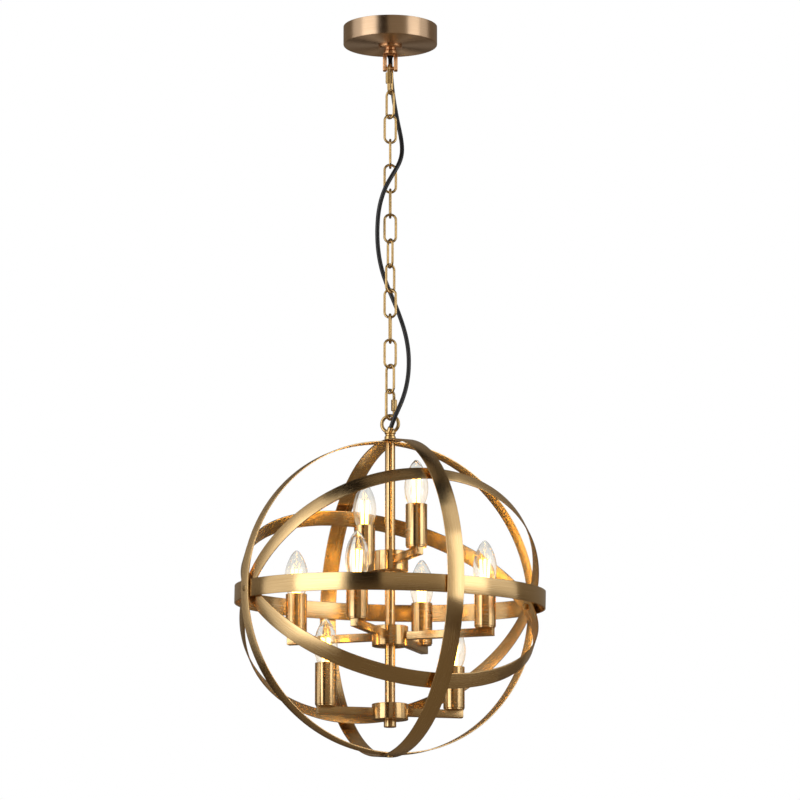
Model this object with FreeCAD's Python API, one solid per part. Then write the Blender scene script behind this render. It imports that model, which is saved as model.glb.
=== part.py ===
"""An orb chandelier: eight candle lamps on three tiers inside five nested ring bands,
hung from a round canopy by a welded-link chain with two threaded quick links.

Millimetres, +Z up. The origin is where the mounting strap meets the ceiling, in the middle
of its two screw holes. The viewer stands on the -Y side, so +X is to the right.
"""
import FreeCAD, Part
import math
import os

V = FreeCAD.Vector
UP = V(0, 0, 1)
os.makedirs("parts", exist_ok=True)

# ---- fits ----
seat = 0.05            # between pieces of one body that are screwed or slid together
running = 0.08         # radial clearance of a band's hole on its pivot screw
linkGap = 0.4          # between two links that hang in each other
eyeGap = 0.6           # between the lower quick link and the eye
bandGap = 0.7          # between two nested bands, whose edges stand out further than their middles

# ---- mounting strap and canopy ----
strapLength = 104.0
strapWidth = 18.0
strapThick = 2.0
strapHolePitch = 84.0
strapHoleRadius = 2.5
canopyRadius = 60.0
canopyHeight = 25.0
canopyWall = 1.2
canopyEdge = 1.5       # radius of the turned lower edge
threadRadius = 5.0     # the M10 lamp thread of the nipple and of the stem's core
threadBore = 3.5
locknutAcross = 16.0
locknutThick = 4.0
blockSize = (22.0, 12.0, 10.0)      # terminal block, along X, Y and Z
blockOffset = 32.0                  # of its middle from the axis

# ---- hanger under the canopy ----
flangeRadius = 15.0
flangeThick = 4.0
neckRadius = 8.6
neckLength = 7.4
stirrupWidth = 19.0    # across the two legs
stirrupDepth = 8.0
stirrupLeg = 5.1       # width of a leg
stirrupLength = 21.4   # from the neck to the underside of the cross bar
crossBarRadius = 2.5
slotCrown = 2.0        # solid above the slot

# ---- chain ----
wireRadius = 1.6
linkInnerLength = 32.75
linkInnerWidth = 11.2
linkSides = 8          # facets round a wire
bendSteps = 4          # facets along each end bend
# turn of each link's plane about the vertical, from facing the viewer
linkTurns = (-50, 10, 90, 5, 92, 0, -66, 45, -10, 85, 12, -49)
quickWireRadius = 1.8
quickInnerLength = 34.0
quickInnerWidth = 10.2
quickTurns = (252, 45)  # upper and lower quick link
gateGap = 5.0          # opening of the wire, inside the nut
nutAcross = 6.8
nutLength = 14.0

# ---- hanging eye on top of the stem ----
eyeWireRadius = 2.25
eyeInnerRadius = 8.35
eyeTurn = -12
eyeSteps = 20
collarRadius = 7.2
collarLength = 13.0
collarWaist = 6.0      # radius of the groove turned into the collar

# ---- bands ----
bandThick = 1.6
bandSides = 96
bandWidth = 22.0
outerBandRadius = 199.0     # outside of the outermost band
pivotTurn = 23.9            # of the pivot axis about the vertical, from +X
equatorTilt = -2.7          # each turning band's rest angle about the pivot axis
upperTilt = 45.2
lowerTilt = -40.0
pivotRadius = 2.0
pivotHeadRadius = 4.0
pivotHeadThick = 0.9
pivotNutAcross = 7.0
pivotNutThick = 2.6
poleHeadRadius = 4.0
poleHeadThick = 1.2

# ---- stem, hubs and arms ----
stemRadius = 6.5
hubRadius = 22.8
hubHeight = 25.0
bottomHubHeight = 20.0
finialRadius = 7.9
finialLength = 9.0
armSize = 10.0
armWall = 1.2
armOverhang = 11.0          # of an arm past its lamp's middle
armRoot = 12.0              # inner end of an arm from the axis
wireLeadRadius = 1.3
# tier: name, height of the arms above the orb's middle, reach, turns from the viewer
tiers = (
    ("top", 45.2, 89.0, (21.5, 201.5)),
    ("middle", -49.0, 124.5, (-18.8, 71.2, 161.2, 251.2)),
    ("bottom", -143.8, 82.0, (-76.6, 103.4)),
)

# ---- lamps ----
cupRadius = 12.6
cupThick = 2.0
sleeveRadius = 13.5
sleeveWall = 1.0
sleeveLength = 52.0
holderRadius = 10.5
holderLength = 38.0
holderSides = 12
capRadius = 6.2
capLength = 20.0
bulbWall = 0.8
bulbSink = 10.0             # of the glass below the sleeve's rim
# half profile of the candle glass: radius, height above its foot
bulbProfile = ((6.0, 0.0), (9.4, 8.0), (13.6, 19.5), (15.0, 31.0), (13.6, 43.0),
               (9.8, 54.0), (5.0, 62.5), (1.6, 66.0))

# ---- power cord ----
cordRadius = 2.75
bushRadius = 3.9
bushLength = 4.0
# hand-chosen route, from the bush in the hanger to the boss on the eye's collar
cordRoute = (
    (0.0, 4.0, -41.0), (0.3, 13.8, -51.6), (1.5, 18.3, -67.0), (4.0, 18.5, -90.0),
    (9.0, 15.5, -120.0), (14.0, 11.0, -144.0), (15.5, 2.0, -164.0), (12.0, -9.0, -181.0),
    (3.0, -16.0, -198.0), (-7.0, -17.0, -216.0), (-14.0, -12.0, -238.0),
    (-16.5, -4.0, -262.0), (-16.0, 4.0, -287.0), (-12.0, 12.0, -311.0),
    (-5.0, 16.5, -332.0), (4.0, 18.0, -353.0), (12.5, 16.0, -375.0),
    (19.5, 12.0, -398.0), (23.5, 7.0, -423.0), (23.5, 2.0, -448.0),
    (20.5, -3.0, -469.0), (15.3, -8.0, -487.0), (9.0, -11.5, -502.0),
    (3.9, -10.0, -513.3), (1.2, -7.0, -521.2),
)

# ---- heights worked out from the sizes above ----
canopyBottom = -canopyHeight
neckBottom = canopyBottom - flangeThick - neckLength
hangerBottom = neckBottom - stirrupLength
crossBarZ = hangerBottom + crossBarRadius
quickTop = crossBarZ + crossBarRadius + linkGap          # inner top of the upper quick link
upperQuickZ = quickTop - quickInnerLength / 2
firstLinkTop = upperQuickZ - quickInnerLength / 2 + linkGap
linkPitch = linkInnerLength - linkGap
linkZ = [firstLinkTop - linkInnerLength / 2 - i * linkPitch for i in range(len(linkTurns))]
lowerQuickTop = linkZ[-1] - linkInnerLength / 2 + linkGap
lowerQuickZ = lowerQuickTop - quickInnerLength / 2
eyeTop = lowerQuickZ - quickInnerLength / 2 + eyeGap
eyeZ = eyeTop - eyeInnerRadius
collarTop = eyeZ - eyeInnerRadius
collarBottom = collarTop - collarLength
orbZ = collarBottom - seat - outerBandRadius             # middle of the orb

bandPitch = bandThick + bandGap
meridianRadii = (outerBandRadius, outerBandRadius - bandPitch)
equatorRadius = outerBandRadius - 2 * bandPitch
upperRadius = outerBandRadius - 3 * bandPitch
lowerRadius = outerBandRadius - 4 * bandPitch


# ---- helpers ----
def save(name, shape):
    shape.exportStep("parts/%s.step" % name)
    return shape


def group(shapes):
    return Part.makeCompound(shapes)


def sidesFor(radius):
    """Facets round a turned piece: enough to look round at its size."""
    for limit, sides in ((5, 12), (9, 16), (16, 24), (40, 36)):
        if radius < limit:
            return sides
    return 72


def lathe(profile, sides, x=0.0, y=0.0):
    """A many-sided turned solid from the (radius, height) corners of its half section."""
    rings = []
    for radius, z in profile:
        angles = [2 * math.pi * (i + 0.5) / sides for i in range(sides + 1)]
        rings.append([V(x + radius * math.cos(a), y + radius * math.sin(a), z) for a in angles])
    faces = []
    for k, a in enumerate(rings):
        n = (k + 1) % len(rings)
        b, atAxis = rings[n], (profile[k][0] == 0, profile[n][0] == 0)
        if all(atAxis):
            continue
        if any(atAxis) and profile[k][1] == profile[n][1]:
            edge = b if atAxis[0] else a
            faces.append(Part.Face(Part.makePolygon(edge[:-1] + edge[:1])))
            continue
        for i in range(sides):
            corners = [a[i], a[i + 1], b[i + 1], b[i]]
            if atAxis[0]:
                corners = [a[i], b[i + 1], b[i]]
            if atAxis[1]:
                corners = [a[i], a[i + 1], b[i]]
            faces.append(Part.Face(Part.makePolygon(corners + corners[:1])))
    solid = Part.Solid(Part.Shell(faces))
    if solid.Volume < 0:
        solid.reverse()
    return solid


def disc(radius, low, high, x=0.0, y=0.0):
    return lathe(((0, low), (radius, low), (radius, high), (0, high)), sidesFor(radius), x, y)


def pipe(outer, inner, low, high, x=0.0, y=0.0, sides=0):
    profile = ((inner, low), (outer, low), (outer, high), (inner, high))
    return lathe(profile, sides or sidesFor(outer), x, y)


def drill(radius, low, high, x=0.0, y=0.0):
    """A round bore that something turns on or bolts through."""
    return Part.makeCylinder(radius, high - low, V(x, y, low), UP)


def prism(across, sides, low, high, x=0.0, y=0.0):
    """A regular prism that measures `across` from flat to flat."""
    reach = across / 2 / math.cos(math.pi / sides)
    ring = [V(x + reach * math.cos(2 * math.pi * (i + 0.5) / sides),
              y + reach * math.sin(2 * math.pi * (i + 0.5) / sides), low)
            for i in range(sides + 1)]
    return Part.Face(Part.makePolygon(ring)).extrude(V(0, 0, high - low))


def turned(shape, degrees):
    out = shape.copy()
    out.rotate(V(0, 0, 0), UP, degrees)
    return out


def sectionAt(centre, outward, across, radius, stretch):
    """Corners of a wire's cross-section in the plane that halves a bend of its path."""
    corners = []
    reach = radius / math.cos(math.pi / linkSides)
    for i in range(linkSides):
        a = 2 * math.pi * (i + 0.5) / linkSides
        corners.append(centre + outward * (reach * stretch * math.cos(a))
                       + across * (reach * math.sin(a)))
    return corners


def facetedWire(stations):
    """A closed solid through rings of corners: the facets of a bent wire."""
    faces = []
    for i, a in enumerate(stations):
        b = stations[(i + 1) % len(stations)]
        for j in range(linkSides):
            k = (j + 1) % linkSides
            faces.append(Part.Face(Part.makePolygon([a[j], a[k], b[k], b[j], a[j]])))
    solid = Part.Solid(Part.Shell(faces))
    if solid.Volume < 0:
        solid.reverse()
    return solid


def bentWire(bend, half, radius, steps):
    """A wire bent in the XZ plane: two half circles of radius `bend`, `half` above and below."""
    mitre = 1 / math.cos(math.pi / steps / 2)
    stations = []
    for i in range(2 * steps):
        a = math.pi * (i + 0.5) / steps
        outward = V(math.cos(a), 0, math.sin(a))
        rise = half if i < steps else -half
        centre = outward * (bend * mitre) + V(0, 0, rise)
        stations.append(sectionAt(centre, outward, V(0, 1, 0), radius, mitre))
    return facetedWire(stations)


def oval(innerLength, innerWidth, radius, steps):
    bend = innerWidth / 2 + radius
    return bentWire(bend, innerLength / 2 + radius - bend, radius, steps)


# ---- ceiling side ----
def mountingStrap():
    strap = Part.makeBox(strapLength, strapWidth, strapThick,
                         V(-strapLength / 2, -strapWidth / 2, -strapThick))
    strap = strap.makeFillet(4.0, [e for e in strap.Edges if abs(e.Length - strapThick) < 1e-6])
    strap = strap.cut(disc(threadRadius + seat, -strapThick - 1, 1))
    for side in (-1, 1):
        strap = strap.cut(drill(strapHoleRadius, -strapThick - 1, 1, side * strapHolePitch / 2))
    return strap


def canopy():
    low, floor, bore = canopyBottom, canopyBottom + canopyWall, threadRadius + seat
    inner = canopyRadius - canopyWall
    profile = ((bore, low), (canopyRadius - canopyEdge, low),
               (canopyRadius - 0.3 * canopyEdge, low + 0.3 * canopyEdge),
               (canopyRadius, low + canopyEdge), (canopyRadius, -linkGap), (inner, -linkGap),
               (inner, floor), (bore, floor))
    return lathe(profile, sidesFor(canopyRadius))


def nipple():
    low = canopyBottom - flangeThick
    return pipe(threadRadius, threadBore, low, -strapThick / 4)


def locknuts():
    """One nut under the strap and one on the canopy's floor, on the same thread."""
    nuts = []
    for low in (-strapThick - locknutThick, canopyBottom + canopyWall):
        nut = prism(locknutAcross, 6, low, low + locknutThick)
        nuts.append(nut.cut(disc(threadRadius + seat, low - 1, low + locknutThick + 1)))
    return group(nuts)


def terminalBlock():
    length, width, height = blockSize
    low = -strapThick - height
    block = Part.makeBox(length, width, height, V(blockOffset - length / 2, -width / 2, low))
    for i in (-1, 0, 1):
        x = blockOffset + i * length / 3
        block = block.cut(disc(1.6, low - 1, low + height * 0.6, x))
    return block


def hanger():
    """Threaded flange, waisted neck and a stirrup whose cross bar carries the chain."""
    flangeLow = canopyBottom - flangeThick
    waist = neckRadius - 1.4
    profile = ((0, neckBottom), (neckRadius, neckBottom), (neckRadius, flangeLow - 4.0),
               (waist, flangeLow - 2.5), (waist, flangeLow), (flangeRadius - 1.6, flangeLow),
               (flangeRadius, flangeLow + 1.2), (flangeRadius, canopyBottom), (0, canopyBottom))
    body = lathe(profile, sidesFor(flangeRadius))
    body = body.cut(disc(threadRadius + seat, flangeLow, 0))
    block = Part.makeBox(stirrupWidth, stirrupDepth, neckBottom - crossBarZ,
                         V(-stirrupWidth / 2, -stirrupDepth / 2, crossBarZ))
    slotHigh = neckBottom - slotCrown
    slot = Part.makeBox(stirrupWidth - 2 * stirrupLeg, stirrupDepth + 2, slotHigh - crossBarZ + 1,
                        V(-stirrupWidth / 2 + stirrupLeg, -stirrupDepth / 2 - 1, crossBarZ - 1))
    ends = []
    for side in (-1, 1):
        x = -stirrupWidth / 2 if side < 0 else stirrupWidth / 2 - stirrupLeg
        ends.append(Part.makeCylinder(stirrupDepth / 2, stirrupLeg, V(x, 0, crossBarZ), V(1, 0, 0)))
    bar = Part.makeCylinder(crossBarRadius, stirrupWidth - stirrupLeg,
                            V(-(stirrupWidth - stirrupLeg) / 2, 0, crossBarZ), V(1, 0, 0))
    return body.fuse([block.cut(slot)] + ends + [bar]).removeSplitter()


def cordEnd(first, second):
    """The start of the cord and its direction there, into the object."""
    start, following = V(*first), V(*second)
    return start, (start - following).normalize()


def cableBush():
    start, inward = cordEnd(cordRoute[0], cordRoute[1])
    return Part.makeCylinder(bushRadius, bushLength, start, inward)


# ---- chain ----
def chainLink(index):
    link = turned(oval(linkInnerLength, linkInnerWidth, wireRadius, bendSteps), linkTurns[index])
    link.translate(V(0, 0, linkZ[index]))
    return link


def quickLink(turn, z):
    """An oval link whose right side is cut open at the gate."""
    link = oval(quickInnerLength, quickInnerWidth, quickWireRadius, bendSteps)
    side = quickInnerWidth / 2 + quickWireRadius
    gate = Part.makeBox(3 * quickWireRadius, 3 * quickWireRadius, gateGap,
                        V(side - 1.5 * quickWireRadius, -1.5 * quickWireRadius, -gateGap / 2))
    link = turned(link.cut(gate), turn)
    link.translate(V(0, 0, z))
    return link


def quickNut(turn, z):
    side = quickInnerWidth / 2 + quickWireRadius
    nut = prism(nutAcross, 6, -nutLength / 2, nutLength / 2, side)
    bore = quickWireRadius / math.cos(math.pi / linkSides) + seat
    nut = nut.cut(disc(bore, -nutLength, nutLength, side))
    nut = turned(nut, turn)
    nut.translate(V(0, 0, z))
    return nut


def hangingEye():
    """A ring on a turned collar that screws onto the stem's core."""
    ring = bentWire(eyeInnerRadius + eyeWireRadius, 0.0, eyeWireRadius, eyeSteps // 2)
    ring = turned(ring, eyeTurn)
    ring.translate(V(0, 0, eyeZ))
    low, high = collarBottom, collarTop
    profile = ((0, low), (collarRadius, low), (collarRadius, high - 8),
               (collarWaist, high - 7), (collarWaist, high - 5), (collarRadius, high - 4),
               (collarRadius, high - 1), (collarRadius - 1, high), (0, high))
    collar = lathe(profile, sidesFor(collarRadius))
    start, inward = cordEnd(cordRoute[-1], cordRoute[-2])
    boss = Part.makeCylinder(bushRadius, start.z - collarTop + bushLength, start, inward)
    eye = collar.fuse([ring, boss])
    return eye.cut(disc(threadRadius + seat, low - 1, coreTop + seat))


# ---- stem and tiers ----
coreTop = collarBottom + 5.5
innermostTop = orbZ + meridianRadii[1] - bandThick
stemTop = innermostTop - stemRadius ** 2 / (2 * innermostTop - 2 * orbZ) - seat


def hubSpan(index):
    """Underside and top of a tier's hub."""
    name, height, reach, turns = tiers[index]
    middle = orbZ + height
    tall = bottomHubHeight if index == len(tiers) - 1 else hubHeight
    return middle - tall / 2, middle + tall / 2


def stemCore():
    low = hubSpan(2)[0] - finialLength + 2
    return pipe(threadRadius, threadBore, low, coreTop)


def stemTubes():
    tops = [stemTop, hubSpan(0)[0], hubSpan(1)[0]]
    feet = [hubSpan(0)[1], hubSpan(1)[1], hubSpan(2)[1]]
    return [pipe(stemRadius, threadRadius + seat, low, high) for low, high in zip(feet, tops)]


def armBar(turn, height, reach):
    """A square tube, closed at its outer end, along -Y before it is turned."""
    length = reach + armOverhang - armRoot
    bar = Part.makeBox(armSize, length, armSize,
                       V(-armSize / 2, -reach - armOverhang, orbZ + height - armSize / 2))
    hollow = armSize - 2 * armWall
    core = Part.makeBox(hollow, length, hollow,
                        V(-hollow / 2, -reach - armOverhang + armWall, orbZ + height - hollow / 2))
    return turned(bar.cut(core), turn)


def hub(index):
    name, height, reach, turns = tiers[index]
    low, high = hubSpan(index)
    bore, edge = threadRadius + seat, 0.8
    body = lathe(((bore, low), (hubRadius - edge, low), (hubRadius, low + edge),
                  (hubRadius, high - edge), (hubRadius - edge, high), (bore, high)),
                 sidesFor(hubRadius))
    for turn in turns:
        slot = Part.makeBox(armSize, hubRadius, armSize,
                            V(-armSize / 2, -hubRadius - armRoot, orbZ + height - armSize / 2))
        body = body.cut(turned(slot, turn))
    return body


def arms(index):
    name, height, reach, turns = tiers[index]
    return group([armBar(turn, height, reach) for turn in turns])


def lampPlaces(index):
    name, height, reach, turns = tiers[index]
    base = orbZ + height + armSize / 2
    return [(reach * math.sin(math.radians(t)), -reach * math.cos(math.radians(t)), base)
            for t in turns]


def sleeve(x, y, base):
    low = base + cupThick
    return pipe(sleeveRadius, sleeveRadius - sleeveWall, low, low + sleeveLength, x, y)


def lampholder(x, y, base):
    """Cup, and the holder that stands on it inside the sleeve."""
    low = base + cupThick
    cup = disc(cupRadius, base, low, x, y)
    holder = prism(2 * holderRadius, holderSides, low, low + holderLength, x, y)
    well = disc(capRadius + 2 * seat, low + holderLength - capLength, low + holderLength + 1, x, y)
    return cup.fuse(holder.cut(well)).removeSplitter()


def bulbFoot(base):
    return base + cupThick + sleeveLength - bulbSink


def bulbCap(x, y, base):
    high = bulbFoot(base)
    low = base + cupThick + holderLength - capLength
    return disc(capRadius, low, high, x, y)


def bulbGlass(x, y, base):
    foot = bulbFoot(base)
    outer = [(0, foot)] + [(r, foot + h) for r, h in bulbProfile]
    outer.append((0, outer[-1][1]))
    inner = [(0, foot - 1), (bulbProfile[0][0] - 3, foot - 1)]
    inner += [(r - bulbWall, foot + h + bulbWall * k) for r, h, k in
              ((6.0, 0.0, 1.5), (13.4, 19.5, 0.0), (14.9, 31.0, 0.0), (13.4, 43.0, 0.0),
               (4.9, 61.5, 0.0))]
    inner.append((0, inner[-1][1] + bulbWall))
    sides = sidesFor(bulbProfile[0][0])
    return lathe(outer, sides, x, y).cut(lathe(inner, sides, x, y))


def armLead(turn, height, reach):
    floor = orbZ + height - armSize / 2 + armWall
    lead = disc(wireLeadRadius, armRoot, reach)
    lead.rotate(V(0, 0, 0), V(1, 0, 0), 90)
    lead.translate(V(0, 0, floor + wireLeadRadius))
    return turned(lead, turn)


def finial():
    high = hubSpan(2)[0]
    low, bore, edge = high - finialLength, threadRadius + seat, 0.8
    return lathe(((0, low), (finialRadius - edge, low), (finialRadius, low + edge),
                  (finialRadius, high), (bore, high), (bore, low + 2 - seat), (0, low + 2 - seat)),
                 sidesFor(finialRadius))


# ---- bands ----
def band(outerRadius):
    """A flat strip rolled into a ring about the Z axis, at the origin."""
    spread = 1 / math.cos(math.pi / bandSides)      # the flats lie on the nominal radii
    return pipe(outerRadius * spread, (outerRadius - bandThick) * spread,
                -bandWidth / 2, bandWidth / 2, sides=bandSides)


def pivotHole(shape, radius):
    """Drills both ends of the X axis."""
    bore = drill(radius, -outerBandRadius - 1, outerBandRadius + 1)
    bore.rotate(V(0, 0, 0), V(0, 1, 0), 90)
    return shape.cut(bore)


def poleHoles(shape, top, bottom):
    """Drills the top for the stem's core and the bottom for the rivet."""
    shape = shape.cut(disc(top, 0, outerBandRadius + 1))
    return shape.cut(disc(bottom, -outerBandRadius - 1, 0))


def upright(ring, degrees):
    """Stands a ring on edge, in the vertical plane at `degrees` from +X."""
    ring.rotate(V(0, 0, 0), V(1, 0, 0), 90)
    ring.rotate(V(0, 0, 0), UP, degrees)
    return ring


def placed(shape):
    shape.translate(V(0, 0, orbZ))
    return shape


def outerMeridian():
    ring = upright(band(meridianRadii[0]), pivotTurn + 90)
    return placed(poleHoles(ring, threadRadius + seat, pivotRadius + seat))


def innerMeridian():
    ring = upright(pivotHole(band(meridianRadii[1]), pivotRadius + seat), pivotTurn)
    return placed(poleHoles(ring, threadRadius + seat, pivotRadius + seat))


def turningBand(outerRadius, tilt):
    """A band that turns about the pivot axis; a positive tilt lifts the viewer's side."""
    ring = pivotHole(band(outerRadius), pivotRadius + running)
    ring.rotate(V(0, 0, 0), V(1, 0, 0), -tilt)
    return placed(turned(ring, pivotTurn))


def pivotScrews():
    """Two screws with low heads outside the inner meridian, and their nuts inside."""
    headLow = meridianRadii[1] + seat
    nutHigh = lowerRadius - bandThick - bandGap
    parts = []
    for turn in (pivotTurn, pivotTurn + 180):
        headHigh = headLow + pivotHeadThick
        head = lathe(((0, headLow), (pivotHeadRadius, headLow),
                      (pivotHeadRadius - 0.6, headHigh), (0, headHigh)), 16)
        shank = drill(pivotRadius, nutHigh - pivotNutThick, headLow + pivotHeadThick / 2)
        nut = prism(pivotNutAcross, 6, nutHigh - pivotNutThick, nutHigh)
        screw = head.fuse([shank, nut])
        screw.rotate(V(0, 0, 0), V(0, 1, 0), 90)
        parts.append(placed(turned(screw, turn)))
    return group(parts)


def poleRivet():
    """Joins the two meridians where they cross below."""
    inside = meridianRadii[1] - bandThick
    high = -inside + poleHeadThick + poleHeadRadius ** 2 / (2 * inside) + seat
    head = disc(poleHeadRadius, high - poleHeadThick, high)
    foot = disc(poleHeadRadius, -outerBandRadius - poleHeadThick, -outerBandRadius)
    shank = disc(pivotRadius, -outerBandRadius - poleHeadThick / 2, high - poleHeadThick / 2)
    return placed(head.fuse([foot, shank]))


# ---- cord ----
def cordPath():
    """Straight runs joined by tangent arcs, each as large as its two runs allow."""
    points = [V(*p) for p in cordRoute]
    edges, radii, here = [], [], points[0]
    for before, corner, after in zip(points, points[1:], points[2:]):
        inward, outward = corner - before, after - corner
        turn = inward.getAngle(outward)
        reach = 0.45 * min(inward.Length, outward.Length)
        radii.append(reach / math.tan(turn / 2))
        a, b = V(inward).normalize(), V(outward).normalize()
        start, end = corner - a * reach, corner + b * reach
        bisector = (b - a).normalize()
        sag = radii[-1] * (1 / math.cos(turn / 2) - 1)
        edges.append(Part.LineSegment(here, start).toShape())
        edges.append(Part.Arc(start, corner + bisector * sag, end).toShape())
        here = end
    edges.append(Part.LineSegment(here, points[-1]).toShape())
    return Part.Wire(edges), radii


def powerCord():
    path, radii = cordPath()
    start, inward = cordEnd(cordRoute[0], cordRoute[1])
    across = inward.cross(V(1, 0, 0)).normalize()
    corners = sectionAt(start, across, inward.cross(across), cordRadius * math.cos(math.pi / linkSides), 1)
    tube = path.makePipeShell([Part.makePolygon(corners + corners[:1])], True, False)
    expected = path.Length * linkSides / 2 * cordRadius ** 2 * math.sin(2 * math.pi / linkSides)
    print("cord radii", [round(r) for r in radii])
    print("cord length %.1f, volume %.0f of %.0f" % (path.Length, tube.Volume, expected))
    return tube


# ---- build ----
def build():
    save("mounting_strap", mountingStrap())
    save("canopy", canopy())
    save("canopy_nipple", nipple())
    save("canopy_locknuts", locknuts())
    save("terminal_block", terminalBlock())
    bush = save("cable_bush", cableBush())
    save("hanger_stirrup", hanger().cut(bush))
    save("upper_quick_link", quickLink(quickTurns[0], upperQuickZ))
    save("upper_quick_link_nut", quickNut(quickTurns[0], upperQuickZ))
    for i in range(len(linkTurns)):
        save("chain_link_%02d" % (i + 1), chainLink(i))
    save("lower_quick_link", quickLink(quickTurns[1], lowerQuickZ))
    save("lower_quick_link_nut", quickNut(quickTurns[1], lowerQuickZ))
    save("hanging_eye", hangingEye())
    save("stem_core", stemCore())
    for name, tube in zip(("upper", "middle", "lower"), stemTubes()):
        save("stem_tube_" + name, tube)
    for i, tier in enumerate(tiers):
        places = lampPlaces(i)
        save(tier[0] + "_hub", hub(i))
        save(tier[0] + "_arms", arms(i))
        save(tier[0] + "_candle_sleeves", group([sleeve(*p) for p in places]))
        save(tier[0] + "_lampholders", group([lampholder(*p) for p in places]))
        save(tier[0] + "_bulb_caps", group([bulbCap(*p) for p in places]))
        save(tier[0] + "_bulbs", group([bulbGlass(*p) for p in places]))
    save("arm_leads", group([armLead(turn, tier[1], tier[2]) for tier in tiers for turn in tier[3]]))
    save("bottom_finial", finial())
    save("outer_meridian_band", outerMeridian())
    save("inner_meridian_band", innerMeridian())
    save("equator_band", turningBand(equatorRadius, equatorTilt))
    save("upper_tilting_band", turningBand(upperRadius, upperTilt))
    save("lower_tilting_band", turningBand(lowerRadius, lowerTilt))
    save("pivot_screws", pivotScrews())
    save("pole_rivet", poleRivet())
    save("power_cord", powerCord())
    print("orb centre %.2f, collar top %.2f, eye %.2f" % (orbZ, collarTop, eyeZ))
    print("links", [round(z, 2) for z in linkZ], round(upperQuickZ, 2), round(lowerQuickZ, 2))


build()
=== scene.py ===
import bpy
import math
import bmesh
from mathutils import Matrix, Vector


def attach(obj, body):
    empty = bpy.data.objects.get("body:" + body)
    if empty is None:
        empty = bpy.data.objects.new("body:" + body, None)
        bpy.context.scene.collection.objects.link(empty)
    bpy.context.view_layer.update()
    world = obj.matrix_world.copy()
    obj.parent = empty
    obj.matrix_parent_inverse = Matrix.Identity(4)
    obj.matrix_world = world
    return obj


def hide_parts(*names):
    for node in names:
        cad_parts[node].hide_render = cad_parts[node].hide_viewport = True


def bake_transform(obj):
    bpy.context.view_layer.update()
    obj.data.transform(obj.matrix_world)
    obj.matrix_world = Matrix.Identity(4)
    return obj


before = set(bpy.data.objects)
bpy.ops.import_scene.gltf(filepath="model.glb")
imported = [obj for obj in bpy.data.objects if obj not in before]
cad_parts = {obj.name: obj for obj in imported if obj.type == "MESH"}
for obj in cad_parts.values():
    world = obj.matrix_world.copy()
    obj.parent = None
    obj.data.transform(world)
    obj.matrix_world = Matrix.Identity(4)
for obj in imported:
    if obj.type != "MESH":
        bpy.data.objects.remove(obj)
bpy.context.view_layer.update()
mm = 0.001
orbZ = -736.35          # middle of the globe, in mm below the ceiling; sizes below are in mm too
scene = bpy.context.scene


# colour and node helpers
def fromHex(text):
    # an sRGB hex colour as linear red, green and blue, with full alpha
    channels = [int(text[i:i + 2], 16) / 255 for i in (0, 2, 4)]
    linear = [c / 12.92 if c <= 0.04045 else ((c + 0.055) / 1.055) ** 2.4 for c in channels]
    return (*linear, 1.0)


def addNode(tree, kind, settings=None, links=None):
    # adds one node, sets its properties and sockets, and joins its inputs
    node = tree.nodes.new(kind)
    for key, value in (settings or {}).items():
        if isinstance(key, str) and hasattr(node, key) and key not in node.inputs:
            setattr(node, key, value)
        else:
            node.inputs[key].default_value = value
    for key, source in (links or {}).items():
        tree.links.new(source, node.inputs[key])
    return node


def startMaterial(name):
    material = bpy.data.materials.new(name)
    material.use_nodes = True
    material.node_tree.nodes.clear()
    return material, material.node_tree


def finishMaterial(tree, shader):
    addNode(tree, "ShaderNodeOutputMaterial", None, {"Surface": shader.outputs[0]})


def brushedBrass(name, tint="E4C390", deep="D1AD77", polish=0.20):
    # satin brass, belt-brushed along its length and lacquered: each highlight is pulled out
    # across the scratches, which show as fine lines of two close tones; real scratches are
    # finer, and these are as coarse as the picture needs
    sizes = {"scratchMm": 0.45, "scratchLengthMm": 60.0, "smearMm": 45.0, "bumpMm": 0.004}
    dulling = {"scratches": 0.07, "smears": 0.05}
    material, tree = startMaterial(name)
    coords = addNode(tree, "ShaderNodeTexCoord")
    across, along = 1000 / sizes["scratchMm"], 1000 / sizes["scratchLengthMm"]
    stretch = addNode(tree, "ShaderNodeMapping", {"Scale": (along, across, across)},
                      {"Vector": coords.outputs["UV"]})
    scratches = addNode(tree, "ShaderNodeTexNoise",
                        {"Scale": 1.0, "Detail": 2.0, "Roughness": 0.6},
                        {"Vector": stretch.outputs[0]})
    smears = addNode(tree, "ShaderNodeTexNoise",
                     {"Scale": 1000 / sizes["smearMm"], "Detail": 2.0},
                     {"Vector": coords.outputs["Object"]})
    roughness = addNode(tree, "ShaderNodeMapRange",
                        {"To Min": polish, "To Max": polish + dulling["scratches"]},
                        {"Value": scratches.outputs["Fac"]})
    dulled = addNode(tree, "ShaderNodeMath",
                     {"operation": "MULTIPLY_ADD", 1: dulling["smears"]},
                     {0: smears.outputs["Fac"], 2: roughness.outputs["Result"]})
    colour = addNode(tree, "ShaderNodeValToRGB", None, {"Fac": scratches.outputs["Fac"]})
    colour.color_ramp.elements[0].position = 0.3
    colour.color_ramp.elements[0].color = fromHex(deep)
    colour.color_ramp.elements[1].position = 0.7
    colour.color_ramp.elements[1].color = fromHex(tint)
    bump = addNode(tree, "ShaderNodeBump", {"Strength": 0.07, "Distance": sizes["bumpMm"] * mm},
                   {"Height": scratches.outputs["Fac"]})
    grainWay = addNode(tree, "ShaderNodeTangent", {"direction_type": "UV_MAP",
                                                   "uv_map": "surface"})
    shader = addNode(tree, "ShaderNodeBsdfPrincipled",
                     {"Metallic": 1.0, "Anisotropic": 0.95, "Anisotropic Rotation": 0.25},
                     {"Base Color": colour.outputs["Color"], "Roughness": dulled.outputs[0],
                      "Normal": bump.outputs[0], "Tangent": grainWay.outputs[0]})
    finishMaterial(tree, shader)
    return material


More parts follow.
